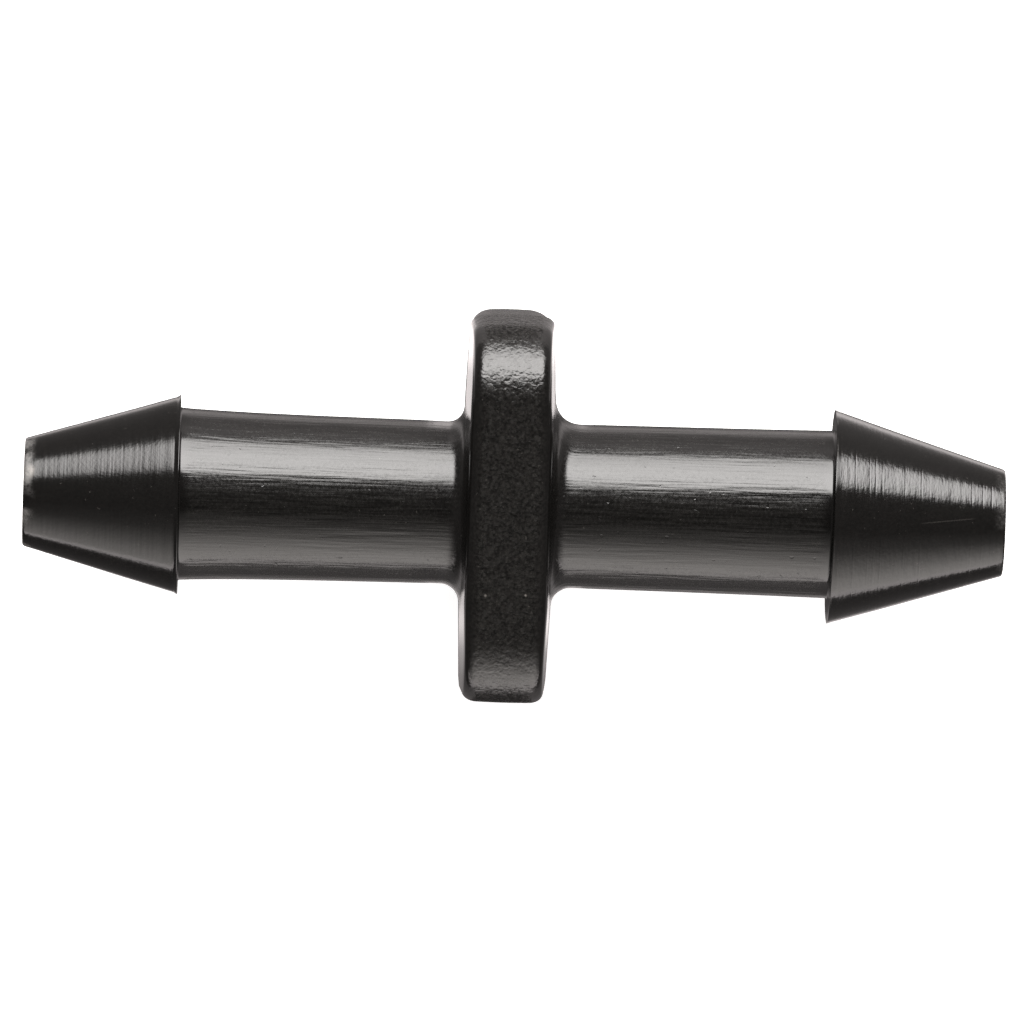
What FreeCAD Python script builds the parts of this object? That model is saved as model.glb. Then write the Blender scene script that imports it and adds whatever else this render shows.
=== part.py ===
import FreeCAD, Part
import math
import os
import Sketcher

# Straight double-barbed hose mender for thin drip-irrigation tube, moulded in one piece of black plastic.
#
# Frame, in millimetres: X runs along the water way, from the left barb to the right barb. Z is up, square
# to the mould's parting plane at z = 0, and Y is the long direction of the collar. The origin is on the
# axis of the water way, in the middle of the collar's thickness.
#
# Each arm is a neck that the tube grips and a cone that it is pushed over. The cone ends in a sharp lip
# with a narrow land behind it, which keeps the tube from sliding off. The two arms differ a little.

NODE = "hose_mender"

# Name, size and meaning. Lengths are in millimetres, and the draft is in degrees.
SIZES = [
    ("left_reach", 12.84, "middle of the collar to the left tip"),
    ("left_neck_root_diameter", 4.27, "left neck where it would reach the middle of the collar"),
    ("left_neck_end_diameter", 4.50, "left neck where it meets the barb"),
    ("left_barb_length", 4.03, "left cone from its lip to the tip"),
    ("left_barb_diameter", 5.24, "left cone at its lip"),
    ("left_tip_diameter", 2.86, "left cone at its tip"),
    ("left_lip_step", 0.05, "drop from the left lip to the land behind it"),
    ("left_land_width", 0.11, "width of the land behind the left lip"),
    ("left_tip_rounding", 0.10, "rounding round the left tip"),
    ("right_reach", 13.17, "middle of the collar to the right tip"),
    ("right_neck_root_diameter", 4.33, "right neck where it would reach the middle of the collar"),
    ("right_neck_end_diameter", 4.46, "right neck where it meets the barb"),
    ("right_barb_length", 4.51, "right cone from its lip to the tip"),
    ("right_barb_diameter", 5.62, "right cone at its lip"),
    ("right_tip_diameter", 2.82, "right cone at its tip"),
    ("right_lip_step", 0.10, "drop from the right lip to the land behind it"),
    ("right_land_width", 0.14, "width of the land behind the right lip"),
    ("right_tip_rounding", 0.08, "rounding round the right tip"),
    ("collar_thickness", 2.46, "collar along the water way, at the parting plane"),
    ("collar_width", 10.26, "collar along Y, at the parting plane"),
    ("collar_depth", 6.40, "collar along Z, between its two flat faces"),
    ("collar_draft", 2.6, "lean of the collar's sides away from the parting plane, in degrees"),
    ("collar_corner_radius", 1.95, "the collar's four big corners, seen along the water way"),
    ("collar_edge_radius", 0.26, "edges round the collar's two stop faces"),
    ("root_radius", 0.50, "hollow rounding where the necks run into the collar"),
    ("bore_diameter", 2.10, "water way, straight through"),
]

# Within this distance, in millimetres, a point counts as lying on a surface.
TOUCH = 1e-3

# A rounding takes at most this share of the room beside it.
ROOM_SHARE = 0.9

doc = FreeCAD.newDocument(NODE)

sheet = doc.addObject("Spreadsheet::Sheet", "sizes")
for row, (alias, size, meaning) in enumerate(SIZES, start=1):
    sheet.set(f"A{row}", alias)
    sheet.set(f"B{row}", str(size))
    sheet.setAlias(f"B{row}", alias)
    sheet.set(f"C{row}", meaning)
doc.recompute()


def value(alias):
    """A driving dimension, as the sheet holds it."""
    return float(sheet.get(alias))


body = doc.addObject("PartDesign::Body", NODE)
body.Label = NODE


def origin_plane(role):
    """One of the body's own origin planes."""
    return next(plane for plane in body.Origin.OriginFeatures if plane.Role == role)


def new_sketch(name, role):
    """An empty sketch on one of the body's origin planes."""
    sketch = body.newObject("Sketcher::SketchObject", name)
    sketch.AttachmentSupport = [(origin_plane(role), "")]
    sketch.MapMode = "FlatFace"
    return sketch


def draw_outline(sketch, corners):
    """Draw straight lines from corner to corner, and join the last to the first."""
    count = len(corners)
    for index in range(count):
        start = FreeCAD.Vector(*corners[index], 0)
        end = FreeCAD.Vector(*corners[(index + 1) % count], 0)
        sketch.addGeometry(Part.LineSegment(start, end), False)
    for index in range(count):
        sketch.addConstraint(Sketcher.Constraint("Coincident", index, 2, (index + 1) % count, 1))


def constrain(sketch, kind, *lines):
    """Make the given lines of a sketch horizontal or vertical."""
    for line in lines:
        sketch.addConstraint(Sketcher.Constraint(kind, line))


def dimension(sketch, name, expression, *constraint):
    """Add a dimension to a sketch and tie it to the sheet."""
    index = sketch.addConstraint(Sketcher.Constraint(*constraint))
    sketch.renameConstraint(index, name)
    sketch.setExpression(f"Constraints.{name}", expression)


def add_feature(kind, name, **settings):
    """Add a feature to the body and set its properties."""
    feature = body.newObject(f"PartDesign::{kind}", name)
    for key, setting in settings.items():
        setattr(feature, key, setting)
    return feature


def faces_where(feature, test):
    """Names of a feature's faces whose normal at the centre of mass passes a test."""
    names = []
    for index, face in enumerate(feature.Shape.Faces, start=1):
        normal = face.normalAt(*face.Surface.parameter(face.CenterOfMass))
        if test(normal):
            names.append(f"Face{index}")
    return names


def edges_where(feature, test):
    """Names of a feature's edges that pass a test at each of a few points between their ends."""
    names = []
    for index, edge in enumerate(feature.Shape.Edges, start=1):
        between = edge.discretize(7)[1:-1]
        if all(test(point) for point in between):
            names.append(f"Edge{index}")
    return names


def round_edges(name, base, test, radius):
    """Round those edges of a feature that pass a test."""
    edges = edges_where(base, test)
    if not edges:
        raise RuntimeError(f"{name}: no edge to round")
    fillet = add_feature("Fillet", name, Base=(base, edges))
    fillet.setExpression("Radius", radius)
    doc.recompute()
    return fillet


def stop_face_x(point):
    """How far from the collar's middle its drafted stop face stands, at a point's height."""
    lean = math.tan(math.radians(value("collar_draft")))
    return value("collar_thickness") / 2 - abs(point.z) * lean


def neck_radius(side, point):
    """Radius of a neck at a point's distance from the collar's middle."""
    root = value(f"{side}_neck_root_diameter") / 2
    end = value(f"{side}_neck_end_diameter") / 2
    length = value(f"{side}_reach") - value(f"{side}_barb_length") - value(f"{side}_land_width")
    return root + (end - root) * abs(point.x) / length


def from_axis(point):
    """Distance of a point from the axis of the water way."""
    return math.hypot(point.y, point.z)


def add_upper_collar():
    """The collar above the parting plane: a block drafted upwards, with big corners and rounded rims."""
    thickness = value("collar_thickness")
    width = value("collar_width")
    sketch = new_sketch("collar_plan", "XY_Plane")
    right, back = thickness / 2, width / 2
    draw_outline(sketch, [(-right, -back), (right, -back), (right, back), (-right, back)])
    front_line, right_line, back_line, left_line = range(4)
    constrain(sketch, "Horizontal", front_line, back_line)
    constrain(sketch, "Vertical", right_line, left_line)
    sketch.addConstraint(Sketcher.Constraint("Symmetric", front_line, 1, back_line, 1, -1, 1))
    for alias, kind, line, size in [
        ("collar_thickness", "DistanceX", front_line, thickness),
        ("collar_width", "DistanceY", right_line, width),
    ]:
        dimension(sketch, alias, f"sizes.{alias}", kind, line, 1, line, 2, size)

    block = add_feature("Pad", "upper_block", Profile=sketch)
    block.setExpression("Length", "sizes.collar_depth / 2")
    doc.recompute()

    sides = faces_where(block, lambda normal: abs(normal.z) < TOUCH)
    parting_plane = (origin_plane("XY_Plane"), [""])
    drafted = add_feature("Draft", "upper_draft", Base=(block, sides), NeutralPlane=parting_plane)
    drafted.setExpression("Angle", "sizes.collar_draft")
    doc.recompute()
    if drafted.Shape.Volume >= block.Shape.Volume:
        raise RuntimeError("the collar's draft leans outwards")

    top = value("collar_depth") / 2
    lean = math.tan(math.radians(value("collar_draft")))
    corner_y = width / 2 - top * lean
    corners = round_edges(
        "big_corners",
        drafted,
        lambda point: abs(point.z - top) < TOUCH and abs(abs(point.y) - corner_y) < TOUCH,
        f"min(sizes.collar_corner_radius; {ROOM_SHARE} * sizes.collar_depth / 2)",
    )
    return round_edges(
        "stop_face_rims",
        corners,
        lambda point: abs(abs(point.x) - stop_face_x(point)) < TOUCH and point.z > TOUCH,
        "sizes.collar_edge_radius",
    )


def add_upper_arm(side, turn):
    """The upper half of a neck and its barb, on one side of the collar."""
    reach = value(f"{side}_reach")
    tip = value(f"{side}_tip_diameter") / 2
    lip = value(f"{side}_barb_diameter") / 2
    lip_at = reach - value(f"{side}_barb_length")
    land = lip - value(f"{side}_lip_step")
    back_at = lip_at - value(f"{side}_land_width")
    neck_end = value(f"{side}_neck_end_diameter") / 2
    neck_root = value(f"{side}_neck_root_diameter") / 2

    sketch = new_sketch(f"{side}_arm_profile", "XZ_Plane")
    turned = FreeCAD.Rotation(FreeCAD.Vector(0, 1, 0), turn)
    sketch.AttachmentOffset = FreeCAD.Placement(FreeCAD.Vector(), turned)
    draw_outline(
        sketch,
        [
            (0, 0),
            (reach, 0),
            (reach, tip),
            (lip_at, lip),
            (lip_at, land),
            (back_at, land),
            (back_at, neck_end),
            (0, neck_root),
        ],
    )
    axis, tip_face, cone, lip_drop, land_line, back_face, neck, middle = range(8)
    origin = (-1, 1)
    sketch.addConstraint(Sketcher.Constraint("Coincident", axis, 1, *origin))
    constrain(sketch, "Horizontal", axis, land_line)
    constrain(sketch, "Vertical", tip_face, lip_drop, back_face, middle)
    for alias, first, last, length in [
        ("reach", (axis, 1), (axis, 2), reach),
        ("barb_length", (cone, 2), (cone, 1), reach - lip_at),
        ("land_width", (land_line, 2), (land_line, 1), lip_at - back_at),
    ]:
        dimension(sketch, alias, f"sizes.{side}_{alias}", "DistanceX", *first, *last, length)
    for alias, end, radius in [
        ("tip_diameter", (tip_face, 2), tip),
        ("barb_diameter", (cone, 2), lip),
        ("neck_end_diameter", (neck, 1), neck_end),
        ("neck_root_diameter", (neck, 2), neck_root),
    ]:
        dimension(sketch, alias, f"sizes.{side}_{alias} / 2", "DistanceY", *origin, *end, radius)
    step = lip - land
    dimension(sketch, "lip_step", f"sizes.{side}_lip_step", "DistanceY", lip_drop, 2, lip_drop, 1, step)

    arm = add_feature("Revolution", f"{side}_arm", Profile=sketch, ReferenceAxis=(sketch, ["H_Axis"]))
    arm.Angle = 180
    arm.Midplane = True
    doc.recompute()
    return arm


def round_tip(side, base):
    """Take the sharp edge off a tip, all round."""
    reach = value(f"{side}_reach")
    tip = value(f"{side}_tip_diameter") / 2
    sign = -1 if side == "left" else 1
    return round_edges(
        f"{side}_tip",
        base,
        lambda point: abs(sign * point.x - reach) < TOUCH and abs(from_axis(point) - tip) < TOUCH,
        f"sizes.{side}_tip_rounding",
    )


def round_neck_roots(base):
    """Run both necks into the collar's drafted stop faces with a hollow rounding."""

    def on_root(point):
        side = "left" if point.x < 0 else "right"
        on_stop_face = abs(abs(point.x) - stop_face_x(point)) < TOUCH
        return on_stop_face and abs(from_axis(point) - neck_radius(side, point)) < TOUCH

    necks = "max(sizes.left_neck_root_diameter; sizes.right_neck_root_diameter)"
    room = f"((sizes.collar_depth - {necks}) / 2 - sizes.collar_edge_radius)"
    return round_edges("neck_roots", base, on_root, f"min(sizes.root_radius; {ROOM_SHARE} * {room})")


def mirror_below(upper):
    """Complete the moulding below the parting plane."""
    parting_plane = (origin_plane("XY_Plane"), [""])
    whole = add_feature("Mirrored", "moulding", MirrorPlane=parting_plane, TransformMode="Whole shape")
    body.Tip = whole
    doc.recompute()
    if abs(whole.Shape.Volume - 2 * upper.Shape.Volume) > TOUCH * whole.Shape.Volume:
        raise RuntimeError("the lower half is missing")
    return whole


def cut_water_way(base):
    """Cut the bore right through, from tip to tip."""
    sketch = new_sketch("bore_circle", "YZ_Plane")
    radius = value("bore_diameter") / 2
    sketch.addGeometry(Part.Circle(FreeCAD.Vector(), FreeCAD.Vector(0, 0, 1), radius), False)
    sketch.addConstraint(Sketcher.Constraint("Coincident", 0, 3, -1, 1))
    dimension(sketch, "diameter", "sizes.bore_diameter", "Diameter", 0, 2 * radius)
    bore = add_feature("Pocket", "water_way", Profile=sketch, Type="ThroughAll", SideType="Symmetric")
    doc.recompute()
    length = value("left_reach") + value("right_reach")
    removed = base.Shape.Volume - bore.Shape.Volume
    if abs(removed - math.pi * radius**2 * length) > TOUCH * removed:
        raise RuntimeError("the water way does not run from tip to tip")
    return bore


add_upper_collar()
add_upper_arm("left", 180)
upper = add_upper_arm("right", 0)
upper = round_neck_roots(upper)
upper = round_tip("left", upper)
upper = round_tip("right", upper)
whole = mirror_below(upper)
body.Tip = cut_water_way(whole)
doc.recompute()

for item in doc.Objects:
    if "Invalid" in item.State or "Error" in item.State:
        raise RuntimeError(f"{item.Name} is in state {item.State}")
    if item.isDerivedFrom("PartDesign::Feature") and (item.Shape.isNull() or not item.Shape.isValid()):
        raise RuntimeError(f"{item.Name} has no sound shape")
if body.Shape.isNull() or not body.Shape.isValid() or len(body.Shape.Solids) != 1:
    raise RuntimeError(f"{body.Label} is not one sound solid")

os.makedirs("parts", exist_ok=True)
body.Shape.exportStep(f"parts/{body.Label}.step")
box = body.Shape.BoundBox
size = f"{box.XLength:.2f} x {box.YLength:.2f} x {box.ZLength:.2f} mm"
print(f"{body.Label}: {size}, {body.Shape.Volume:.1f} mm3")
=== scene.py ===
"""A straight hose mender for thin drip tube, moulded whole in black plastic, dressed for its picture.

Sizes are in millimetres and become metres where a mesh, a light or the camera is made. +X runs along
the water way towards the wider lip, +Y along the collar's long side and +Z up.
"""
import math
from dataclasses import dataclass

import bpy
from mathutils import Matrix, Vector


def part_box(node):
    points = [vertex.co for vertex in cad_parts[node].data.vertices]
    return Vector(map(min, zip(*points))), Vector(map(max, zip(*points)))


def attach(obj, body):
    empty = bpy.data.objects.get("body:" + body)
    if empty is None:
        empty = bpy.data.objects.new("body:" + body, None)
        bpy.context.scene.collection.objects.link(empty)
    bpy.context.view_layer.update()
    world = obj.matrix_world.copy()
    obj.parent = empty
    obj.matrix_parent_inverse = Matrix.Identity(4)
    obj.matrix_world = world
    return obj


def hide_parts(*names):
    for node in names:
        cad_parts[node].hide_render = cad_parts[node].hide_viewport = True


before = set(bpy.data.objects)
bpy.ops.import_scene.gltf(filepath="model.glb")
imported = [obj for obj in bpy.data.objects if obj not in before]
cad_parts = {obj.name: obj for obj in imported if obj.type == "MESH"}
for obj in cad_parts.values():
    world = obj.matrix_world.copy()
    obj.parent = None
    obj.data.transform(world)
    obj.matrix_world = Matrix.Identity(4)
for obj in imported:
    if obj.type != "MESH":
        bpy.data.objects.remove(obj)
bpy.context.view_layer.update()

MM = 0.001
MENDER = "hose_mender"
SHAPE_LOW, SHAPE_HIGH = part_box(MENDER)

# The collar, a rounded block drafted both ways from the mould's parting plane.
COLLAR_HALF_THICKNESS = 1.23
COLLAR_HALF_WIDTH = SHAPE_HIGH.y / MM
COLLAR_HALF_DEPTH = SHAPE_HIGH.z / MM
COLLAR_CORNER_RADIUS = 1.95
COLLAR_EDGE_RADIUS = 0.26
DRAFT = math.radians(2.6)
ROOT_RADIUS = 0.50

# Its rims reach further along the axis than inwards. Its end faces bulge, and a power of the outline's
# slope keeps the bulge off the broad faces. It thins evenly from some way out, and the stop faces fall
# back or stand out a little more at its upper end.
RIM_STRETCH = 1.4
COLLAR_UPPER_BULGE = 0.075
COLLAR_LOWER_BULGE = 0.035
END_POWER = 6
COLLAR_PINCH = 0.032
PINCH_START = 2.3
UPPER_PINCH_REACH = 0.9

# The fine bead where the mould's halves met: its height at the collar's rim, and the share of a quarter
# outline that one flank of it takes.
FACE_BEAD = 0.006
BEAD_SHARE = 0.0055

# The water way, and how far the painted sheen of the tip rims reaches along the cones.
BORE_RADIUS = 1.05
MOUTH_ROUNDING = 0.05
RIM_SHEEN_REACH = 0.26

# The fin's rounding, the share of it by which the flank stops short of the crest, and the degrees from
# the axis at which the crest's rounding starts.
FIN_ROUNDING = 0.012
FLANK_SHORT = 0.3
CREST_START = 60

# How the neck swells, the shares of its length over which it runs into its root, and the share of its
# finish that fades out down the root.
FLARE_POWER = 5
ROOT_BLEND = (0.9, 1.0)
ROOT_FINISH_LOSS = 0.5

# Where along the axis the lip's lean and the offsets of neck and cone fade.
LEAN_FADE = (0.2, 1.5)
ROOT_FADE = 0.6
BACK_FADE = 0.02

# How finely the skin is divided.
SPOKES_PER_QUARTER = 56
MOUTH_STEPS = 4
TIP_RIM_STEPS = 6
CONE_RING_PITCH = 0.04
FLANK_STEPS = 6
WORN_FLANK_STEPS = 2
CREST_STEPS = 4
EDGE_STEPS = 3
BACK_SHARES = (0.33, 0.67)
FOOT_STEPS = 8
NECK_RINGS = 28
ROOT_STEPS = 10
FACE_STEPS = 10
RIM_STEPS = 8
SIDE_STEPS = 8
BORE_RINGS = 12


@dataclass
class Barb:
    """One end of the mender, from its tip to the collar. Lengths along the axis are from the middle."""
    side: int
    # The cone, from its tip to the foot of the lip's fin.
    reach: float
    tip_radius: float
    tip_rounding: float
    cone_slope: float
    cone_bead: float
    # The lip: its fin, the narrow land behind it and the back.
    fin_at: float
    fin_radius: float
    fin_rise: float
    land_radius: float
    back_at: float
    back_rounding: float
    lip_lean: float
    # The neck and its root at the collar.
    neck_root_radius: float
    neck_end_radius: float
    neck_flare: float
    neck_bead: float
    upper_root: float
    # Offsets of neck, lip and tip towards +Y.
    neck_rise: float
    lip_rise: float
    tip_rise: float
    # This side of the collar: what its stop face gives way at the upper end, and more rounding of its
    # rims on the end faces and under the upper one.
    upper_pinch: float
    end_rounding: float
    under_rounding: float
    # Weights of the finish. The lip's weight is real wear. The rim's weight is pale paint: a painted
    # highlight that stands in for the lamps' glint on the tip's rim.
    turning: float
    scoring: float
    graininess: float
    lip_wear: float
    rim_painted_sheen: float


LEFT_BARB = Barb(
    side=-1,
    reach=-SHAPE_LOW.x / MM, tip_radius=1.43, tip_rounding=0.10, cone_slope=0.2890, cone_bead=0.004,
    fin_at=8.745, fin_radius=2.645, fin_rise=0.065, land_radius=2.625, back_at=8.720, back_rounding=0.06,
    lip_lean=-0.0116,
    neck_root_radius=2.155, neck_end_radius=2.215, neck_flare=0.070, neck_bead=0.009, upper_root=0.0,
    neck_rise=0.035, lip_rise=0.01, tip_rise=-0.045,
    upper_pinch=-0.01, end_rounding=0.02, under_rounding=0.14,
    turning=1.0, scoring=0.0, graininess=0.06, lip_wear=0.0, rim_painted_sheen=1.0,
)
RIGHT_BARB = Barb(
    side=1,
    reach=SHAPE_HIGH.x / MM, tip_radius=1.41, tip_rounding=0.08, cone_slope=0.3105, cone_bead=0.010,
    fin_at=8.605, fin_radius=2.835, fin_rise=0.10, land_radius=2.812, back_at=8.575, back_rounding=0.08,
    lip_lean=0.011,
    neck_root_radius=2.172, neck_end_radius=2.212, neck_flare=0.015, neck_bead=0.009, upper_root=0.25,
    neck_rise=0.038, lip_rise=-0.025, tip_rise=-0.045,
    upper_pinch=0.05, end_rounding=0.0, under_rounding=0.22,
    turning=0.4, scoring=1.0, graininess=0.08, lip_wear=0.25, rim_painted_sheen=0.2,
)

# Finish weights of a ring: turned on a lathe, dragged out of the mould, spark-eroded, made pale and scored
# round the axis by a worn tool. The pale is wear at the lips. On the tip rims it is a painted highlight that
# stands in for the lamps' glint there.
FINISHES = ("turned", "dragged", "sparked", "rubbed", "scored")
PLAIN = (0.0, 0.0, 0.0, 0.0, 0.0)
NECK_FINISH = (0.0, 1.0, 0.05, 0.0, 0.0)
SPARKED = (0.0, 0.0, 1.0, 0.0, 0.0)


def ease(value, start, end):
    """0 before start, 1 after end and smooth between."""
    share = min(max((value - start) / (end - start), 0.0), 1.0)
    return share * share * (3 - 2 * share)


def arc(centre, radius, start, end, steps):
    """Points of a circle in the plane of axis and radius, with angles in degrees from the axis."""
    points = []
    for step in range(steps + 1):
        angle = math.radians(start + (end - start) * step / steps)
        points.append((centre[0] + radius * math.cos(angle), centre[1] + radius * math.sin(angle)))
    return points


@dataclass
class Spoke:
    """A direction round the axis, with the point of the collar's outline that it meets."""
    angle: float
    y: float
    z: float
    normal_y: float
    normal_z: float

    @property
    def on_bead(self):
        """Whether the parting bead of its side lies on this spoke."""
        return self.normal_z == 0.0


def outline_share(step):
    """Share of a quarter outline at a step of it, where the first step is one flank of the bead."""
    if step == 0:
        return 0.0
    return BEAD_SHARE + (1 - BEAD_SHARE) * (step - 1) / (SPOKES_PER_QUARTER - 1)


def quarter_outline(share):
    """Point and normal on a quarter of the collar's outline, from its end face to its broad face."""
    corner_z = COLLAR_HALF_DEPTH - COLLAR_CORNER_RADIUS
    lean_top = corner_z + COLLAR_CORNER_RADIUS * math.sin(DRAFT)
    lean_y = COLLAR_HALF_WIDTH - lean_top * math.tan(DRAFT)
    corner_y = lean_y - COLLAR_CORNER_RADIUS * math.cos(DRAFT)
    lean_length = lean_top / math.cos(DRAFT)
    corner_length = COLLAR_CORNER_RADIUS * (math.pi / 2 - DRAFT)
    along = share * (lean_length + corner_length + corner_y)
    if along < lean_length:
        z = along * math.cos(DRAFT)
        return COLLAR_HALF_WIDTH - z * math.tan(DRAFT), z, math.cos(DRAFT), math.sin(DRAFT)
    if along < lean_length + corner_length:
        turn = DRAFT + (along - lean_length) / COLLAR_CORNER_RADIUS
        normal_y, normal_z = math.cos(turn), math.sin(turn)
        return (corner_y + COLLAR_CORNER_RADIUS * normal_y, corner_z + COLLAR_CORNER_RADIUS * normal_z,
                normal_y, normal_z)
    return corner_y - (along - lean_length - corner_length), COLLAR_HALF_DEPTH, 0.0, 1.0


def make_spokes():
    """Spokes along the collar's outline, from +Y towards +Z."""
    spokes = []
    for quarter in range(4):
        for step in range(SPOKES_PER_QUARTER):
            share = outline_share(step if quarter % 2 == 0 else SPOKES_PER_QUARTER - step)
            y, z, normal_y, normal_z = quarter_outline(share)
            sign_y = 1 if quarter in (0, 3) else -1
            sign_z = 1 if quarter in (0, 1) else -1
            y, normal_y = sign_y * y, sign_y * normal_y
            z, normal_z = sign_z * z, sign_z * normal_z
            # Where the two drafts meet at the parting line, the slope is square to the end face.
            if step == 0 and quarter % 2 == 0:
                normal_y, normal_z = float(sign_y), 0.0
            spokes.append(Spoke(math.atan2(z, y), y, z, normal_y, normal_z))
    return spokes


SPOKES = make_spokes()


def stop_face_at(barb, y, z):
    """Distance of the leaning stop face from the middle. The collar thins a little towards its ends."""
    out = max(abs(y) - PINCH_START, 0.0)
    pinch = COLLAR_PINCH * out + barb.upper_pinch * ease(y, PINCH_START, PINCH_START + UPPER_PINCH_REACH)
    return COLLAR_HALF_THICKNESS - abs(z) * math.tan(DRAFT) - pinch


def neck_radius(barb, along):
    """Radius of the neck, which swells a little towards the lip."""
    share = (along - COLLAR_HALF_THICKNESS) / (barb.back_at - COLLAR_HALF_THICKNESS)
    straight = barb.neck_root_radius + (barb.neck_end_radius - barb.neck_root_radius) * share
    return straight + barb.neck_flare * max(share, 0.0) ** FLARE_POWER


def cone_radius(barb, along):
    """Radius of the cone, from its sharp tip corner."""
    return barb.tip_radius + barb.cone_slope * (barb.reach - along)


def skin_point(barb, along, y, z):
    """A point of the skin, with the slight lean of the lip and the slight offset of neck and cone."""
    near_lip = 1 - ease(abs(along - barb.back_at), *LEAN_FADE)
    on_neck = ease(along, COLLAR_HALF_THICKNESS, COLLAR_HALF_THICKNESS + ROOT_FADE)
    on_cone = ease(along, barb.back_at - BACK_FADE, barb.back_at + BACK_FADE)
    out = max(along - barb.back_at, 0.0) / (barb.reach - barb.back_at)
    cone_rise = barb.lip_rise + (barb.tip_rise - barb.lip_rise) * out
    rise = on_neck * (barb.neck_rise + (cone_rise - barb.neck_rise) * on_cone)
    return barb.side * along + barb.lip_lean * near_lip * y, y + rise, z


def round_point(barb, spoke, along, radius):
    """A point of the skin at a distance from the axis."""
    return skin_point(barb, along, radius * math.cos(spoke.angle), radius * math.sin(spoke.angle))


def round_ring(barb, along, radius, finish, bead=0.0):
    """A ring about the axis, with the parting bead standing up from it."""
    return [
        round_point(barb, spoke, along, radius + bead * spoke.on_bead) for spoke in SPOKES
    ], finish


def tip_rings(barb):
    """The mouth of the water way, the end face and its rounded rim, and where the cone starts."""
    mouth_centre = (barb.reach - MOUTH_ROUNDING, BORE_RADIUS + MOUTH_ROUNDING)
    mouth = arc(mouth_centre, MOUTH_ROUNDING, -90, 0, MOUTH_STEPS)
    steepness = math.hypot(1, barb.cone_slope)
    centre = (
        barb.reach - barb.tip_rounding,
        barb.tip_radius + barb.tip_rounding * (barb.cone_slope - steepness),
    )
    cone_turn = math.degrees(math.atan2(1, barb.cone_slope))
    rim = arc(centre, barb.tip_rounding, 0, cone_turn, TIP_RIM_STEPS)
    # The rim is painted pale: a painted highlight in place of the lamps' glint on it.
    wear_and_sheen_finish = (0.0, 0.0, 0.0, barb.rim_painted_sheen, 0.0)
    rings = [round_ring(barb, along, radius, PLAIN) for along, radius in mouth]
    rings += [round_ring(barb, along, radius, wear_and_sheen_finish) for along, radius in rim]
    return rings, rim[-1][0]


def cone_rings(barb, start):
    """The turned cone, from its rim to the foot of the fin at its lip."""
    end = barb.fin_at + barb.fin_rise
    count = round((start - end) / CONE_RING_PITCH)
    rings = []
    for step in range(1, count + 1):
        along = start + (end - start) * step / count
        # The rim's painted highlight fades out over the first stretch of the cone.
        rubbed = barb.rim_painted_sheen * max(1 - (start - along) / RIM_SHEEN_REACH, 0.0)
        finish = (barb.turning, 0.0, barb.graininess, rubbed, barb.scoring)
        rings.append(round_ring(barb, along, cone_radius(barb, along), finish, barb.cone_bead))
    return rings


def lip_rings(barb):
    """The thin fin that stands up at the lip, and its square back with a hollow foot on the neck."""
    flank = []
    foot_radius = cone_radius(barb, barb.fin_at + barb.fin_rise)
    top = barb.fin_radius - FIN_ROUNDING * FLANK_SHORT
    for step in range(1, FLANK_STEPS + 1):
        share = step / FLANK_STEPS
        flank.append((barb.fin_at + barb.fin_rise * (1 - share), foot_radius + (top - foot_radius) * share))
    crest = (barb.fin_at - FIN_ROUNDING, barb.fin_radius - FIN_ROUNDING)
    edge = (barb.back_at + FIN_ROUNDING, barb.land_radius - FIN_ROUNDING)
    slant = math.degrees(math.atan2(crest[0] - edge[0], edge[1] - crest[1]))
    behind = arc(crest, FIN_ROUNDING, CREST_START, slant, CREST_STEPS)
    behind += arc(edge, FIN_ROUNDING, slant, 180, EDGE_STEPS)
    foot = neck_radius(barb, barb.back_at) + barb.back_rounding
    behind += [(barb.back_at, edge[1] + (foot - edge[1]) * share) for share in BACK_SHARES]
    behind += arc((barb.back_at - barb.back_rounding, foot), barb.back_rounding, 0, -90, FOOT_STEPS)
    wear_and_sheen_finish = (0.0, 0.0, 0.0, barb.lip_wear, 0.0)
    finishes = [PLAIN] * (FLANK_STEPS - WORN_FLANK_STEPS) + [wear_and_sheen_finish] * WORN_FLANK_STEPS
    rings = [round_ring(barb, *place, finish) for place, finish in zip(flank, finishes)]
    return rings + [round_ring(barb, *place, PLAIN) for place in behind]


def root_of_neck(barb, spoke):
    """Where the neck's hollow root starts along a spoke, and the root's points down to the stop face."""
    size = ROOT_RADIUS + barb.upper_root * max(math.cos(spoke.angle), 0.0) ** 2
    centre_radius = barb.neck_root_radius + size
    lean = abs(math.sin(spoke.angle)) * math.tan(DRAFT)
    face = stop_face_at(barb, centre_radius * math.cos(spoke.angle), centre_radius * math.sin(spoke.angle))
    centre = face + size * math.hypot(1, lean)
    sweep = 90 - math.degrees(math.atan(lean))
    root = arc((centre, centre_radius), size, -90, -90 - sweep, ROOT_STEPS)
    if spoke.on_bead:
        inwards = barb.neck_bead / size
        root = [
            (along + (centre - along) * inwards, radius + (centre_radius - radius) * inwards)
            for along, radius in root]
    return centre, root


def neck_rings(barb):
    """The neck and the hollow rounding that runs it into the leaning stop face."""
    start = barb.back_at - barb.back_rounding
    roots = [root_of_neck(barb, spoke) for spoke in SPOKES]
    rings = []
    for step in range(1, NECK_RINGS + 1):
        share = step / NECK_RINGS
        points = []
        for spoke, (root_start, root) in zip(SPOKES, roots):
            along = start + (root_start - start) * share
            radius = neck_radius(barb, along) + barb.neck_bead * spoke.on_bead
            radius += (root[0][1] - radius) * ease(share, *ROOT_BLEND)
            points.append(round_point(barb, spoke, along, radius))
        rings.append((points, NECK_FINISH))
    for step in range(1, ROOT_STEPS + 1):
        points = [round_point(barb, spoke, *root[step]) for spoke, (_, root) in zip(SPOKES, roots)]
        fade = 1 - ROOT_FINISH_LOSS * step / ROOT_STEPS
        rings.append((points, tuple(weight * fade for weight in NECK_FINISH)))
    return rings, [root[-1][1] for _, root in roots]


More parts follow.
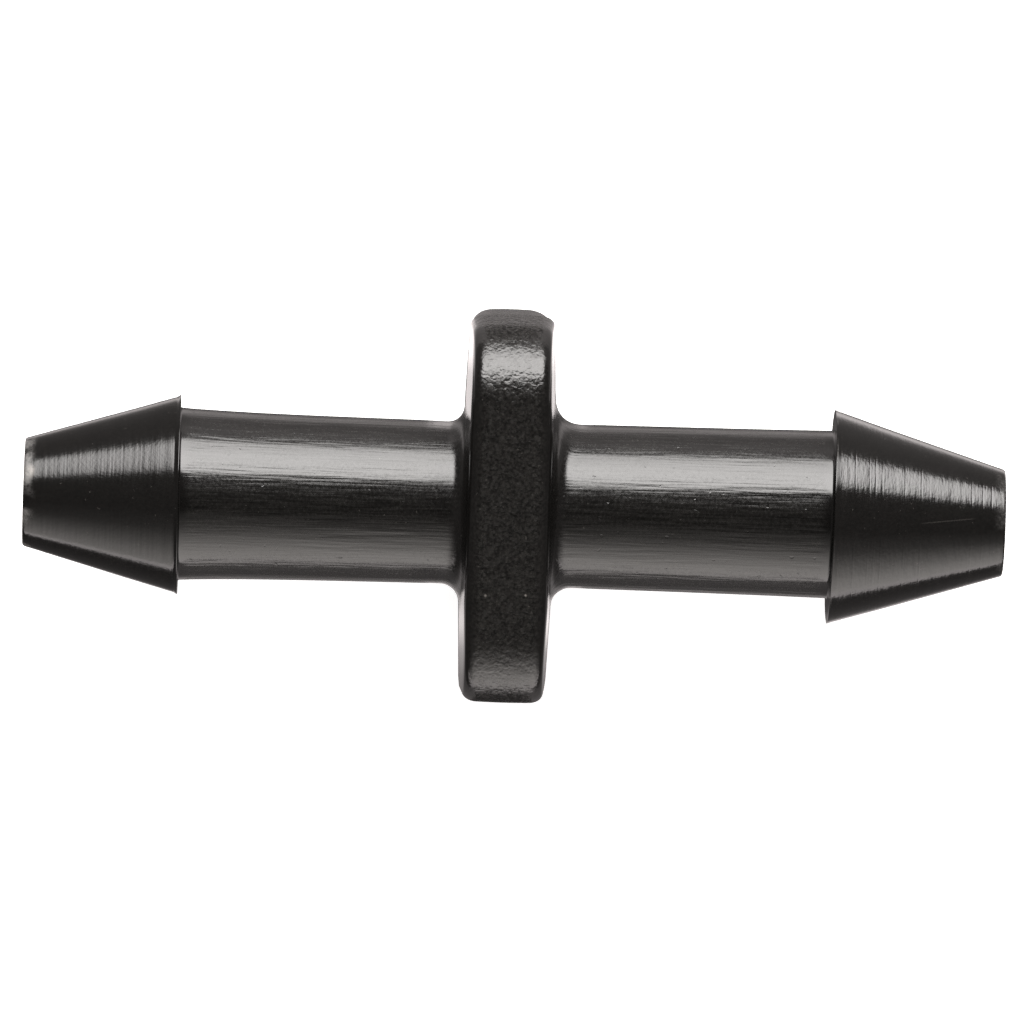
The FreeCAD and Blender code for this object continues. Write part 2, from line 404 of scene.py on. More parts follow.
def bulge_at(spoke, along):
    """How far the collar's side falls back at a place on it, because its end faces bulge a little."""
    depth = COLLAR_UPPER_BULGE if spoke.y > 0 else COLLAR_LOWER_BULGE
    return depth * spoke.normal_y ** END_POWER * (along / COLLAR_HALF_THICKNESS) ** 2


def rim_radius(barb, spoke):
    """Radius of the collar's rim, larger on its end faces and most so below the parting plane."""
    more = barb.under_rounding if spoke.y > 0 and spoke.z < 0 else barb.end_rounding
    return COLLAR_EDGE_RADIUS + more * spoke.normal_y ** END_POWER


def rim_centre(barb, spoke):
    """The middle of the collar's rounded rim at a spoke, and the rim's radius there."""
    edge = rim_radius(barb, spoke)
    along = stop_face_at(barb, spoke.y, spoke.z) - edge * RIM_STRETCH / math.cos(DRAFT)
    back = edge + bulge_at(spoke, along)
    return along, spoke.y - back * spoke.normal_y, spoke.z - back * spoke.normal_z, edge


def stop_face_rings(barb, root_radii, rims):
    """The stop face, from the neck's root to the rim."""
    rings = []
    for step in range(1, FACE_STEPS):
        share = step / FACE_STEPS
        points = []
        for spoke, root, (_, rim_y, rim_z, _) in zip(SPOKES, root_radii, rims):
            y = root * math.cos(spoke.angle) * (1 - share) + rim_y * share
            z = root * math.sin(spoke.angle) * (1 - share) + rim_z * share
            bead = barb.neck_bead + (FACE_BEAD - barb.neck_bead) * share
            points.append(skin_point(barb, stop_face_at(barb, y, z) + bead * spoke.on_bead, y, z))
        rings.append((points, PLAIN))
    return rings


def rim_rings(barb, rims):
    """The rounded rim, where the spark-eroded grain comes in."""
    rings = []
    for step in range(RIM_STEPS + 1):
        points = []
        for spoke, (rim_along, rim_y, rim_z, edge) in zip(SPOKES, rims):
            start = math.asin(abs(spoke.normal_z) * math.sin(DRAFT))
            turn = start + (math.pi / 2 - start) * step / RIM_STEPS
            along = rim_along + edge * RIM_STRETCH * math.cos(turn)
            outward = edge * math.sin(turn)
            points.append(skin_point(
                barb, along, rim_y + outward * spoke.normal_y, rim_z + outward * spoke.normal_z))
        rings.append((points, (0.0, 0.0, (step / RIM_STEPS) ** 2, 0.0, 0.0)))
    return rings


def side_rings(barb, rims):
    """The collar's side, from the rim to the middle of the mender."""
    rings = []
    for step in range(1, SIDE_STEPS + 1):
        points = []
        for spoke, (rim_along, _, _, _) in zip(SPOKES, rims):
            along = rim_along * (1 - step / SIDE_STEPS)
            back = bulge_at(spoke, along)
            points.append(skin_point(
                barb, along, spoke.y - back * spoke.normal_y, spoke.z - back * spoke.normal_z))
        rings.append((points, SPARKED))
    return rings


def half_rings(barb):
    """Rings of one half, from the mouth of the water way to the middle of the collar."""
    tip, cone_start = tip_rings(barb)
    neck, root_radii = neck_rings(barb)
    rims = [rim_centre(barb, spoke) for spoke in SPOKES]
    collar = stop_face_rings(barb, root_radii, rims) + rim_rings(barb, rims) + side_rings(barb, rims)
    return tip + cone_rings(barb, cone_start) + lip_rings(barb) + neck + collar


def bore_rings():
    """The water way, from the right mouth back to the left one."""
    start = RIGHT_BARB.reach - MOUTH_ROUNDING
    end = -(LEFT_BARB.reach - MOUTH_ROUNDING)
    rings = []
    for step in range(1, BORE_RINGS):
        x = start + (end - start) * step / BORE_RINGS
        rings.append(([
            (x, BORE_RADIUS * math.cos(spoke.angle), BORE_RADIUS * math.sin(spoke.angle))
            for spoke in SPOKES
        ], PLAIN))
    return rings


def make_skin():
    """One closed skin for the whole moulding, with the weights of its finishes."""
    left = half_rings(LEFT_BARB)
    right = half_rings(RIGHT_BARB)
    # The right half runs back outwards, without the middle ring that the left one has already.
    rings = left + right[-2::-1] + bore_rings()
    count = len(SPOKES)
    points = [Vector(point) * MM for ring, _ in rings for point in ring]
    faces = []
    for ring in range(len(rings)):
        here = ring * count
        there = (ring + 1) % len(rings) * count
        for spoke in range(count):
            beside = (spoke + 1) % count
            faces.append((here + spoke, here + beside, there + beside, there + spoke))
    mesh = bpy.data.meshes.new("mender_skin")
    mesh.from_pydata(points, [], faces)
    for index, name in enumerate(FINISHES):
        weights = mesh.attributes.new(name, "FLOAT", "POINT")
        weights.data.foreach_set("value", [finish[index] for ring, finish in rings for _ in ring])
    mesh.shade_smooth()
    mesh.validate()
    return mesh


class Term:
    """A socket of a node tree that takes part in sums as a number does."""

    def __init__(self, tree, socket):
        self.tree = tree
        self.socket = socket

    def math(self, operation, *others):
        return self.tree.add("ShaderNodeMath", {"operation": operation}, dict(enumerate((self, *others))))

    def __add__(self, other):
        return self.math("ADD", other)

    __radd__ = __add__

    def __mul__(self, other):
        return self.math("MULTIPLY", other)

    __rmul__ = __mul__

    def __sub__(self, other):
        return self.math("SUBTRACT", other)

    def __rsub__(self, other):
        return self.tree.add("ShaderNodeMath", {"operation": "SUBTRACT"}, {0: other, 1: self})

    def __truediv__(self, other):
        return self.math("DIVIDE", other)

    def __pow__(self, other):
        return self.math("POWER", other)


class Tree:
    """Adds nodes to a node tree."""

    def __init__(self, nodes):
        self.nodes = nodes.nodes
        self.links = nodes.links

    def add(self, kind, settings=None, sockets=None, output=0):
        """A node of a kind, with its settings first and then its sockets' values or links."""
        node = self.nodes.new(kind)
        for name, value in (settings or {}).items():
            if name == "stops":
                self.set_stops(node.color_ramp, value)
            else:
                setattr(node, name, value)
        for key, value in (sockets or {}).items():
            if isinstance(value, Term):
                self.links.new(value.socket, node.inputs[key])
            else:
                node.inputs[key].default_value = value
        return Term(self, node.outputs[output]) if len(node.outputs) else node

    @staticmethod
    def set_stops(ramp, stops):
        """Grey stops of a ramp, each a place and a value."""
        while len(ramp.elements) < len(stops):
            ramp.elements.new(1.0)
        for element, (place, value) in zip(ramp.elements, stops):
            element.position = place
            element.color = (value, value, value, 1.0)

    def vector(self, operation, *terms, output=0):
        """Vector maths on vectors and colours."""
        return self.add("ShaderNodeVectorMath", {"operation": operation}, dict(enumerate(terms)), output)

    def scaled(self, vector, value):
        """A vector or a colour times a value."""
        return self.add("ShaderNodeVectorMath", {"operation": "SCALE"}, {0: vector, "Scale": value})

    def parts(self, vector):
        """The X, Y and Z of a vector."""
        x = self.add("ShaderNodeSeparateXYZ", None, {0: vector})
        return [Term(self, output) for output in x.socket.node.outputs]

    def mixed(self, factor, first, second, clamped=True):
        """Two colours mixed by a factor. Sockets 6 and 7 and output 2 of the node are those for colours."""
        return self.add(
            "ShaderNodeMix", {"data_type": "RGBA", "clamp_factor": clamped},
            {"Factor": factor, 6: first, 7: second}, output=2)

    def noise(self, place, size, detail, roughness=0.5):
        """Noise from -1 to 1, mostly within half of that, with blotches of a size in the place's unit."""
        raw = self.add(
            "ShaderNodeTexNoise", {"noise_dimensions": "3D"},
            {"Vector": place, "Scale": 1.0 / size, "Detail": detail, "Roughness": roughness})
        return raw * 2.0 - 1.0

    def steps(self, value, start, end):
        """0 before start, 1 after end and smooth between."""
        return self.add(
            "ShaderNodeMapRange", {"interpolation_type": "SMOOTHSTEP"},
            {"Value": value, "From Min": start, "From Max": end})


# Sizes of the relief in the skin itself, in millimetres.
RELIEF = {
    "Ring Depth": 0.0016,
    "Ring Pitch": 0.21,
    "Drag Depth": 0.0020,
    "Drag Width": 0.45,
    "Drag Length": 4.0,
    "Sink Depth": 0.006,
    "Sink Size": 1.6,
}
RELIEF_SEED = 7
SHARP_ANGLE = math.radians(38)


def make_relief(material):
    """The tree that turns rings into the cones, draws long marks down the necks and lets the collar sink."""
    group = bpy.data.node_groups.new("moulded_relief", "GeometryNodeTree")
    group.interface.new_socket("Geometry", in_out="INPUT", socket_type="NodeSocketGeometry")
    group.interface.new_socket("Geometry", in_out="OUTPUT", socket_type="NodeSocketGeometry")
    for name in RELIEF:
        group.interface.new_socket(name, in_out="INPUT", socket_type="NodeSocketFloat")
    group.interface.new_socket("Seed", in_out="INPUT", socket_type="NodeSocketInt")
    tree = Tree(group)
    size = {name: tree.add("NodeGroupInput", output=name) for name in (*RELIEF, "Seed")}

    def weight(name):
        return tree.add("GeometryNodeInputNamedAttribute", {"data_type": "FLOAT"}, {"Name": name})

    place = tree.scaled(tree.add("GeometryNodeInputPosition"), 1 / MM)
    x = tree.parts(place)[0]
    ring_noise = tree.add(
        "ShaderNodeTexNoise", {"noise_dimensions": "1D"},
        {"W": x / size["Ring Pitch"] + size["Seed"], "Scale": 1.0, "Detail": 1.0})
    rings = (ring_noise - 0.5) * 2.0 * size["Ring Depth"] * weight("turned")
    across = size["Drag Width"]
    drag_sizes = tree.add("ShaderNodeCombineXYZ", None, {0: size["Drag Length"], 1: across, 2: across})
    drag_noise = tree.add(
        "ShaderNodeTexNoise", {"noise_dimensions": "4D"},
        {"Vector": tree.vector("DIVIDE", place, drag_sizes), "W": size["Seed"], "Scale": 1.0})
    drags = (drag_noise - 0.5) * 2.0 * size["Drag Depth"] * weight("dragged")
    sink_sizes = tree.add(
        "ShaderNodeCombineXYZ", None, {0: size["Sink Size"], 1: size["Sink Size"], 2: size["Sink Size"]})
    sink_noise = tree.add(
        "ShaderNodeTexNoise", {"noise_dimensions": "4D"},
        {"Vector": tree.vector("DIVIDE", place, sink_sizes), "W": size["Seed"], "Scale": 1.0, "Detail": 0.0})
    sinks = sink_noise * size["Sink Depth"] * weight("sparked") * -1.0
    height = (rings + drags + sinks) * MM
    offset = tree.scaled(tree.add("GeometryNodeInputNormal"), height)
    plain = tree.add("NodeGroupInput", output="Geometry")
    moved = tree.add("GeometryNodeSetPosition", None, {"Geometry": plain, "Offset": offset})
    real = tree.add("GeometryNodeRealizeInstances", None, {"Geometry": moved})
    finished = tree.add("GeometryNodeSetMaterial", None, {"Geometry": real, "Material": material})
    tree.add("NodeGroupOutput", None, {0: finished})
    return group


def make_mender(material):
    """The mender's piece, its skin worked by the relief and turned into a plain mesh."""
    mender = bpy.data.objects.new("mender_body", make_skin())
    bpy.context.scene.collection.objects.link(mender)
    relief = mender.modifiers.new("moulded_relief", "NODES")
    relief.node_group = make_relief(material)
    wanted = {**RELIEF, "Seed": RELIEF_SEED}
    for socket in relief.node_group.interface.items_tree:
        if socket.in_out == "INPUT" and socket.name in wanted:
            relief[socket.identifier] = wanted[socket.name]
    depsgraph = bpy.context.evaluated_depsgraph_get()
    mesh = bpy.data.meshes.new_from_object(mender.evaluated_get(depsgraph), depsgraph=depsgraph)
    mender.modifiers.clear()
    mender.data = mesh
    mesh.name = "mender_body"
    mesh.set_sharp_from_angle(angle=SHARP_ANGLE)
    return mender


# Sizes of the marks in the plastic, in millimetres, and along X, Y and Z where they are longer in some.
RING_PITCH = 0.085
SCORE_SIZE = (0.13, 0.60, 0.60)
FINE_DRAG_SIZE = (1.3, 0.07, 0.07)
BROAD_DRAG_SIZE = (3.2, 0.20, 0.20)
GRAIN_SIZE = 0.075
PITTING_SIZE = 0.16
PIT_SIZE = 0.15
SPECK_SIZE = 0.085

# Depths of the marks, in millimetres. The trace of grain outside the collar has its own.
RING_DEPTH = 0.0008
SCORE_DEPTH = 0.0034
FINE_DRAG_DEPTH = 0.0024
BROAD_DRAG_DEPTH = 0.0045
GRAIN_DEPTH = 0.0060
GRAIN_TRACE = 0.0004
PITTING_DEPTH = 0.0090
PIT_DEPTH = 0.0050

# Deeper turning marks on the right cone: their places along the axis, half width and depth.
TURNING_MARKS = (9.12, 9.50, 9.66, 9.84, 10.45, 10.89, 12.25, 12.54, 12.78)
TURNING_MARK_WIDTH = 0.035
TURNING_MARK_DEPTH = 0.0015

# Where the collar's end faces begin, whose grain is stronger.
END_FACES = (4.85, 5.05)

# Two light specks on the collar's upper face, and a painted highlight on the left tip's rim: a bright
# spot that stands in for the softbox's glint there. The place of each, the distances at which it starts
# and is full, and its strength.
SPECKS_AND_PAINTED_GLINT = (
    ((-0.55, -1.92, 3.2), 0.05, 0.01, 8.0), ((0.51, -1.88, 3.2), 0.05, 0.01, 8.0),
    # The painted highlight on the left tip's rim.
    ((-12.78, 0.69, 1.24), 0.30, 0.10, 24.0),
)

# A faint scratch along the top of the right cone, and how much it turns from the axis.
SCRATCH_MIDDLE = (11.65, 0.26)
SCRATCH_TURN = 0.07
SCRATCH_REACH = (0.022, 0.006)
SCRATCH_STRENGTH = 1.1
SCRATCH_ALONG = (10.85, 11.1, 12.45, 12.1)

# Colours of the plastic, from its darkest to its lighter tone, and the pale of the lips' wear and of the
# painted highlight on the tip rims.
DARK_TONE = (0.0022, 0.0021, 0.0019, 1.0)
LIGHT_TONE = (0.0122, 0.0114, 0.0105, 1.0)
WEAR_AND_SHEEN_TONE = (0.092, 0.089, 0.086, 1.0)

# Place of the plain plastic between its two tones, and what the finishes and the specks add to it.
PLAIN_TONE = 0.12
DRAGGED_TONE = 0.10
SPARKED_TONE = 0.30
SPECK_TONE = 1.6

# Roughness of the plain plastic, and what the finishes add to it.
PLAIN_ROUGHNESS = 0.11
TURNED_ROUGHNESS = 0.02
DRAGGED_ROUGHNESS = 0.11
SPARKED_ROUGHNESS = 0.15
SCORED_ROUGHNESS = 0.06
RUBBED_ROUGHNESS = 0.4


def lathe_marks(tree, place, x, turned, scored):
    """Fine rings, scores and their height: what the lathe left in the mould of the cones."""
    fine_rings = tree.add(
        "ShaderNodeTexNoise", {"noise_dimensions": "1D"},
        {"W": x / RING_PITCH, "Scale": 1.0, "Detail": 1.0, "Roughness": 0.6}) * 2.0 - 1.0
    ring_fade = tree.noise(place, 0.9, 1.0) * 0.7 + 1.0
    rings = fine_rings * ring_fade * turned * RING_DEPTH
    marks = 0.0
    for at in TURNING_MARKS:
        marks = marks + tree.steps((x - at).math("ABSOLUTE"), TURNING_MARK_WIDTH, 0.0)
    scores = tree.noise(tree.vector("DIVIDE", place, SCORE_SIZE), 1.0, 2.0, 0.6) * scored
    height = rings - marks * ring_fade * TURNING_MARK_DEPTH + scores * SCORE_DEPTH
    return fine_rings, scores, height


def drag_marks(tree, place, dragged):
    """Fine marks drawn along the necks as the moulding left its cavity, and the height of all of them."""
    fine_drags = tree.noise(tree.vector("DIVIDE", place, FINE_DRAG_SIZE), 1.0, 1.0, 0.6)
    broad_drags = tree.noise(tree.vector("DIVIDE", place, BROAD_DRAG_SIZE), 1.0, 1.0, 0.5)
    drag_fade = tree.steps(tree.noise(place, 1.8, 1.0), -0.45, 0.35) * 0.9 + 0.6
    height = (fine_drags * FINE_DRAG_DEPTH + broad_drags * BROAD_DRAG_DEPTH) * dragged * drag_fade
    return fine_drags, height


def specks_and_painted_glint(tree, place, grain):
    """Tone of the light specks and of the painted highlight on the left tip's rim."""
    tone = 0.0
    for speck, start, full, strength in SPECKS_AND_PAINTED_GLINT:
        distance = tree.vector("DISTANCE", place, speck, output=1)
        tone = tone + tree.steps(distance, start, full) * (grain * 0.6 + 1.0) * strength
    return tone


def scratch(tree, x, y, z):
    """Tone of the faint scratch, on the upper side only."""
    aside = (y - SCRATCH_MIDDLE[1] - (x - SCRATCH_MIDDLE[0]) * SCRATCH_TURN).math("ABSOLUTE")
    length = tree.steps(x, *SCRATCH_ALONG[:2]) * tree.steps(x, *SCRATCH_ALONG[2:])
    return tree.steps(aside, *SCRATCH_REACH) * length * tree.steps(z, 0.0, 0.5) * SCRATCH_STRENGTH


def make_black_plastic():
    """Black plastic as it left the mould: turned rings, drag marks and spark-eroded grain by zone."""
    material = bpy.data.materials.new("moulded_black_plastic")
    material.use_nodes = True
    material.node_tree.nodes.clear()
    tree = Tree(material.node_tree)

    def weight(name):
        return tree.add("ShaderNodeAttribute", {"attribute_name": name}, output="Fac")

    turned, dragged, sparked, rubbed, scored = (weight(name) for name in FINISHES)
    place = tree.scaled(tree.add("ShaderNodeTexCoord", output="Object"), 1 / MM)
    x, y, z = tree.parts(place)

    fine_rings, scores, rings = lathe_marks(tree, place, x, turned, scored)
    fine_drags, drags = drag_marks(tree, place, dragged)

    # Spark-eroded grain of the collar and a trace of it elsewhere, with pits in the necks.
    grain = tree.noise(place, GRAIN_SIZE, 1.0, 0.6)
    pitting = tree.noise(place, PITTING_SIZE, 1.0, 0.5)
    pits = tree.steps(tree.noise(place, PIT_SIZE, 0.0), 0.58, 0.74)
    on_end = tree.steps(y.math("ABSOLUTE"), *END_FACES) * sparked
    sparks = grain * (sparked * GRAIN_DEPTH + GRAIN_TRACE) + pitting * sparked * PITTING_DEPTH
    sparks = (sparks - pits * dragged * PIT_DEPTH) * (on_end * 1.2 + 1.0)
    bump = tree.add(
        "ShaderNodeBump", None, {"Strength": 1.0, "Distance": MM, "Height": rings + drags + sparks})

    # The lips' wear and the tip rims' painted highlight are pale in patches, and duller.
    pale = tree.steps(tree.noise(place, 0.7, 1.0), -0.10, 0.25) * rubbed
    roughness = (
        PLAIN_ROUGHNESS + dragged * (fine_drags * 0.10 + grain * 0.14 + DRAGGED_ROUGHNESS)
        + scores * SCORED_ROUGHNESS + pale * RUBBED_ROUGHNESS
        + sparked * (grain * 0.08 + pitting * 0.14 + SPARKED_ROUGHNESS)
        + turned * (fine_rings * 0.04 + TURNED_ROUGHNESS))
    specks = tree.steps(tree.noise(place, SPECK_SIZE, 0.0), 0.64, 0.72)
    tone = (
        tree.noise(place, 0.5, 3.0) * 0.10 + fine_drags * dragged * 0.35 + sparked * SPARKED_TONE
        + dragged * DRAGGED_TONE + grain * (sparked * 0.9 + on_end * 2.0 + 0.15) + specks * SPECK_TONE
        + PLAIN_TONE + specks_and_painted_glint(tree, place, grain) + scratch(tree, x, y, z))
    plastic = tree.mixed(tone.math("MAXIMUM", 0.0), DARK_TONE, LIGHT_TONE, clamped=False)
    colour = tree.mixed(pale * (grain * 1.6 + 1.0), plastic, WEAR_AND_SHEEN_TONE)
    shader = tree.add(
        "ShaderNodeBsdfPrincipled", None,
        {"Base Color": colour, "Roughness": roughness, "Normal": bump, "IOR": 1.5})
    tree.add("ShaderNodeOutputMaterial", None, {"Surface": shader})
    return material


# Brightness of the studio by the angle round the X axis, in degrees from straight up towards +Y, and
# the four places across, from -X to +X, between which each light comes up and dies away. The softbox
# leans: its angles grow by so many degrees towards +X. Its outline is rounded, and has a middle and a
# half size across and in degrees, a power that makes it square and a fade at its edge. The room has a
# glow of its own beyond its sides, and the camera sees the plain backdrop.
SOFTBOX = ((36, 0.0), (40, 9.5), (44, 12.8), (52, 13.2), (62, 12.8), (80, 9.8), (90, 9.0), (94, 8.0))
SOFTBOX_LEAN = 5.0
SOFTBOX_SIDES = (-0.64, -0.38, 0.46, 0.74)
SOFTBOX_MIDDLE = (0.02, 62)
SOFTBOX_HALF = (0.68, 29)
SOFTBOX_SQUARENESS = 2.5
SOFTBOX_EDGE = (0.55, 1.15)
SOFTBOX_TINT = (1.0, 0.976, 0.957)
CARD = ((-96, 3.4), (-91, 3.5), (-75, 3.5), (-60, 2.5), (-36, 0.62), (-12, 0.0))
CARD_SIDES = (-0.80, -0.04, 0.30, 0.92)
CARD_TINT = (1.0, 0.945, 0.905)
ROOM = ((-60, 0.08), (4, 0.05), (25, 0.12), (88, 0.25))
ROOM_SIDES = (-0.60, -0.25, 0.25, 0.60)
ROOM_TINT = (1.0, 0.93, 0.92)
SIDE_GLOW = 0.14
BRIGHTEST = 16.0
BACKDROP = 1.2


def make_studio():
    """Soft light by direction: a softbox high behind the mender, a low card in front and a dim room."""
    world = bpy.data.worlds.new("studio")
    bpy.context.scene.world = world
    world.use_nodes = True
    world.node_tree.nodes.clear()
    tree = Tree(world.node_tree)
    x, y, z = tree.parts(tree.add("ShaderNodeTexCoord", output="Generated"))
    turn = y.math("ARCTAN2", z) / math.tau * 360
    leaning = turn - x * SOFTBOX_LEAN

    def by_angle(brightness, angle):
        stops = [((at + 180) / 360, value / BRIGHTEST) for at, value in brightness]
        return tree.add("ShaderNodeValToRGB", {"stops": stops}, {0: angle / 360 + 0.5}) * BRIGHTEST

    def between(sides):
        return tree.steps(x, sides[0], sides[1]) * (1.0 - tree.steps(x, sides[2], sides[3]))

    def out(value, middle, half):
        return ((value - middle) / half).math("ABSOLUTE") ** SOFTBOX_SQUARENESS

    outside = out(x, SOFTBOX_MIDDLE[0], SOFTBOX_HALF[0]) + out(leaning, SOFTBOX_MIDDLE[1], SOFTBOX_HALF[1])
    rounded = 1.0 - tree.steps(outside, *SOFTBOX_EDGE)
    softbox = by_angle(SOFTBOX, leaning) * between(SOFTBOX_SIDES) * rounded
    card = by_angle(CARD, turn) * between(CARD_SIDES)
    over_room = between(ROOM_SIDES)
    room = by_angle(ROOM, turn) * over_room + (1.0 - over_room) * SIDE_GLOW

    lamps = tree.vector("ADD", tree.scaled(SOFTBOX_TINT, softbox), tree.scaled(CARD_TINT, card))
    light = tree.vector("ADD", lamps, tree.scaled(ROOM_TINT, room))
    shine = tree.add("ShaderNodeBackground", None, {"Color": light, "Strength": 1.0})
    plain = tree.add("ShaderNodeBackground", None, {"Strength": BACKDROP})
    seen = tree.add("ShaderNodeLightPath", output="Is Camera Ray")
    both = tree.add("ShaderNodeMixShader", None, {0: seen, 1: shine, 2: plain})
    tree.add("ShaderNodeOutputWorld", None, {"Surface": both})
    bpy.context.scene.view_settings.view_transform = "Standard"


TABLE_RADIUS = 2000.0
TABLE_SIDES = 96
TABLE_GLOW = 0.76

# What the gloss sees of the table, painted into its glow: its brightness by the distance from the
# mender's outline in plan, in millimetres, beside the necks, the cones and the collar. The dark zone next
# to the outline is the mender's painted shadow, and the brighter zones beyond are painted light. Beside the
# right cone there is more of it, and it lies further out. The zones meet over a short way along the axis.
BESIDE_NECKS = (
    (0.0, 0.10), (0.9, 0.14), (1.5, 0.85), (2.2, 1.05), (3.1, 0.55), (4.4, 0.40), (7.0, 0.55), (11.0, 0.80),
    (18.0, 1.00), (60.0, 0.70),
)
BESIDE_CONES = ((0.0, 0.20), (0.5, 0.45), (1.0, 1.30), (1.3, 1.00), (1.8, 0.35), (3.0, 0.23), (60.0, 0.23))
BESIDE_COLLAR = ((0.0, 0.36), (0.5, 0.48), (0.9, 0.72), (1.4, 0.50), (2.0, 0.16), (4.0, 0.12), (60.0, 0.20))
RIGHT_CONE_GAIN = 0.5
RIGHT_CONE_SPREAD = 0.5
ZONE_EDGE = 0.2

# What the mender's own shade leaves of that on the -Y side, and where along Y it comes in.
NEAR_SHADE = 0.50
NEAR_SHADE_EDGE = (-2.0, 0.0)

# Bright strips beside the stop faces: where they end along the axis, start aside of it and end towards
# +Y, with a lean, and towards -Y, and what is left of them at the corner of -X and -Y.
GLARE = 0.98
GLARE_ALONG = (1.9, 2.2)
GLARE_ASIDE = (0.9, 1.3)
GLARE_UP = (5.05, 4.75)
GLARE_DOWN = (4.6, 3.6)
GLARE_LEAN = 0.25
GLARE_SHADE = 0.6
GLARE_SHADE_EDGE = (-5.5, -3.5)

# The far shine of the card: its brightness, where it starts and is full towards -Y, and the slants of X
# against -Y between which it comes up and dies away.
CARD_SHINE = 3.3
SHINE_START = (-34, -52)
SHINE_SLANTS = (-1.1, -0.7, 0.8, 1.25)


def table_painted_light(tree):
    """Painted light and shade on the table for the gloss: zones about the mender, strips and the card's
    shine.
    """
    x, y, _ = tree.parts(tree.scaled(tree.add("ShaderNodeTexCoord", output="Object"), 1 / MM))
    along = x.math("ABSOLUTE")
    aside = y.math("ABSOLUTE")
    by_cones = tree.steps(along, LEFT_BARB.back_at - ZONE_EDGE, LEFT_BARB.back_at + ZONE_EDGE)
    by_collar = 1.0 - tree.steps(along, COLLAR_HALF_THICKNESS, COLLAR_HALF_THICKNESS + ZONE_EDGE)
    cone_width = (LEFT_BARB.reach - along) * LEFT_BARB.cone_slope + LEFT_BARB.tip_radius
    neck = LEFT_BARB.neck_root_radius
    width = (cone_width - neck) * by_cones + by_collar * (COLLAR_HALF_WIDTH - neck) + neck
    distance = (aside - width).math("MAXIMUM", 0.0)
    farthest = BESIDE_NECKS[-1][0]

    def by_distance(brightness, away):
        stops = [(at / farthest, value) for at, value in brightness]
        return tree.add("ShaderNodeValToRGB", {"stops": stops}, {0: away / farthest})

    # The brightness by distance is painted: dark next to the outline as the mender's shadow, brighter
    # beyond.
    beside_necks = by_distance(BESIDE_NECKS, distance) * (1.0 - by_cones - by_collar)
    to_right = tree.steps(x, 0.0, 1.0)
    beside_cones = by_distance(BESIDE_CONES, distance / (to_right * RIGHT_CONE_SPREAD + 1.0))
    beside_cones = beside_cones * by_cones * (to_right * RIGHT_CONE_GAIN + 1.0)
    near = beside_necks + beside_cones + by_distance(BESIDE_COLLAR, distance) * by_collar
    shade = tree.steps(y, *NEAR_SHADE_EDGE) * (1.0 - NEAR_SHADE) + NEAR_SHADE
    beside_face = (1.0 - tree.steps(along, *GLARE_ALONG)) * (1.0 - by_collar)
    upper_end = tree.steps(x * GLARE_LEAN + y, *GLARE_UP)
    strip = tree.steps(aside, *GLARE_ASIDE) * upper_end * tree.steps(-1.0 * y, *GLARE_DOWN)
    corner_shade = tree.steps(x + y, *GLARE_SHADE_EDGE) * (1.0 - GLARE_SHADE) + GLARE_SHADE
    glare = beside_face * strip * corner_shade * GLARE
    slant = x / (y * -1.0).math("MAXIMUM", 1.0)
    across = tree.steps(slant, *SHINE_SLANTS[:2]) * (1.0 - tree.steps(slant, *SHINE_SLANTS[2:]))
    shine = tree.steps(y, *SHINE_START) * across * CARD_SHINE
    return near * shade + glare + shine


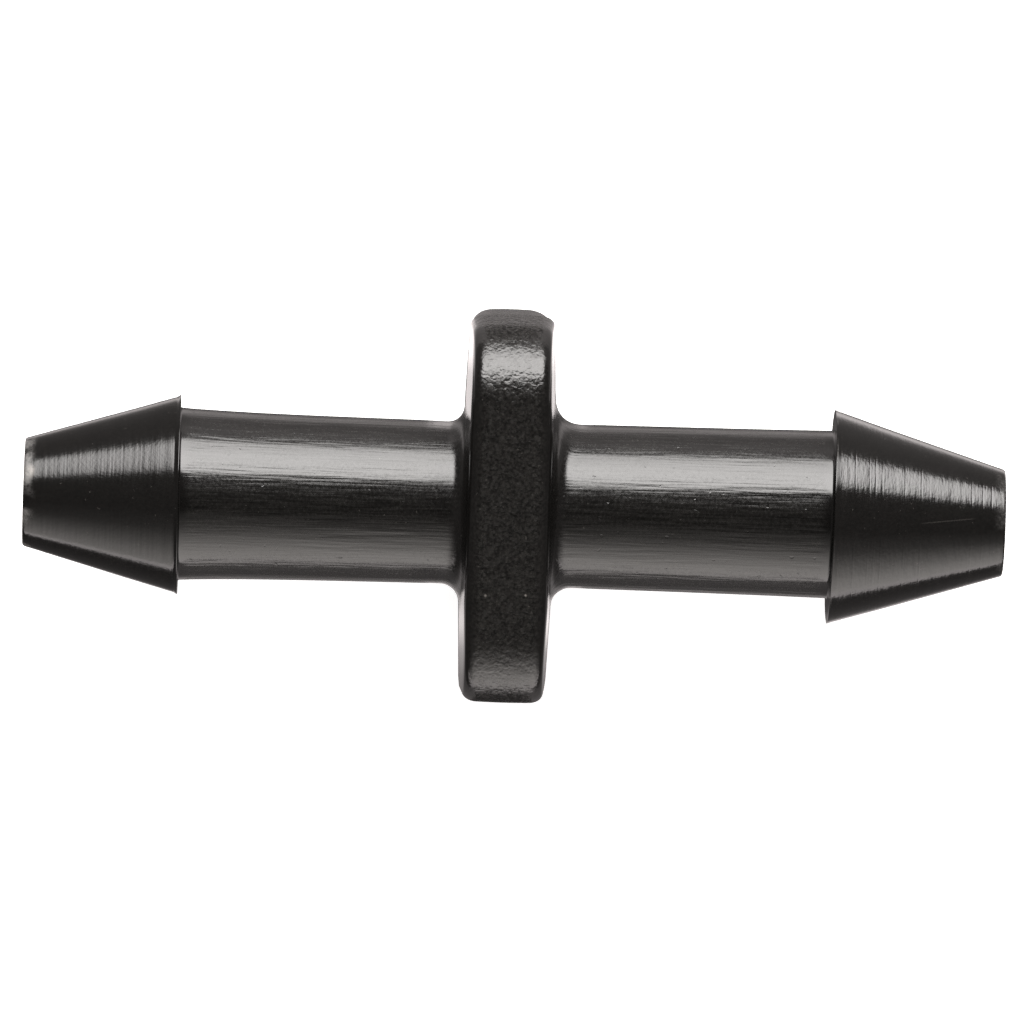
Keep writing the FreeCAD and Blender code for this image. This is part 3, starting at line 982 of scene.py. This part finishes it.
def make_table():
    """A white table under the collar: plain to the camera, with painted light and shade for the gloss."""
    mesh = bpy.data.meshes.new("table_top")
    ring = []
    for side in range(TABLE_SIDES):
        turn = math.tau * side / TABLE_SIDES
        place = Vector((math.cos(turn) * TABLE_RADIUS, math.sin(turn) * TABLE_RADIUS, -COLLAR_HALF_DEPTH))
        ring.append(place * MM)
    mesh.from_pydata(ring, [], [tuple(range(TABLE_SIDES))])
    table = bpy.data.objects.new("table_top", mesh)
    bpy.context.scene.collection.objects.link(table)
    material = bpy.data.materials.new("white_table")
    material.use_nodes = True
    material.node_tree.nodes.clear()
    tree = Tree(material.node_tree)
    white = tree.add(
        "ShaderNodeBsdfPrincipled", None,
        {"Base Color": (0.8, 0.8, 0.8, 1.0), "Roughness": 0.9, "Emission Color": (1.0, 1.0, 1.0, 1.0),
         "Emission Strength": TABLE_GLOW})
    seen = tree.add(
        "ShaderNodeEmission", None, {"Color": tree.scaled(ROOM_TINT, table_painted_light(tree)), "Strength": 1.0})
    camera_ray = tree.add("ShaderNodeLightPath", output="Is Camera Ray")
    both = tree.add("ShaderNodeMixShader", None, {0: camera_ray, 1: seen, 2: white})
    tree.add("ShaderNodeOutputMaterial", None, {"Surface": both})
    mesh.materials.append(material)


# The camera's turns, its distance in millimetres, its lens, and the pixel where the origin lies.
CAMERA_TILT = math.radians(9.0)
CAMERA_SWING = math.radians(0.85)
CAMERA_ROLL = math.radians(1.85)
CAMERA_DISTANCE = 400.0
CAMERA_LENS = 530.0
CAMERA_SENSOR = 36.0
IMAGE_SIZE = 1024
ORIGIN_PIXEL = (507.7, 505.5)


def make_camera():
    """The camera above the mender, leaned towards +Y, so that the collar's upper end face shows."""
    to_camera = Vector((
        -math.sin(CAMERA_SWING),
        math.sin(CAMERA_TILT) * math.cos(CAMERA_SWING),
        math.cos(CAMERA_TILT) * math.cos(CAMERA_SWING),
    )).normalized()
    level_right = (Vector((1, 0, 0)) - to_camera * to_camera.x).normalized()
    level_up = to_camera.cross(level_right)
    right = level_right * math.cos(CAMERA_ROLL) + level_up * math.sin(CAMERA_ROLL)
    up = level_up * math.cos(CAMERA_ROLL) - level_right * math.sin(CAMERA_ROLL)
    pixel = CAMERA_DISTANCE * CAMERA_SENSOR / CAMERA_LENS / IMAGE_SIZE
    middle = IMAGE_SIZE / 2
    target = right * (middle - ORIGIN_PIXEL[0]) * pixel - up * (middle - ORIGIN_PIXEL[1]) * pixel
    data = bpy.data.cameras.new("camera")
    data.lens = CAMERA_LENS
    data.sensor_width = CAMERA_SENSOR
    data.clip_start = 0.01
    data.clip_end = 10.0
    camera = bpy.data.objects.new("camera", data)
    bpy.context.scene.collection.objects.link(camera)
    turn = Matrix((right, up, to_camera)).transposed().to_4x4()
    camera.matrix_world = Matrix.Translation((target + to_camera * CAMERA_DISTANCE) * MM) @ turn
    bpy.context.scene.camera = camera


make_camera()
make_studio()
make_table()
mender = make_mender(make_black_plastic())
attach(mender, "root")
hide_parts(MENDER)
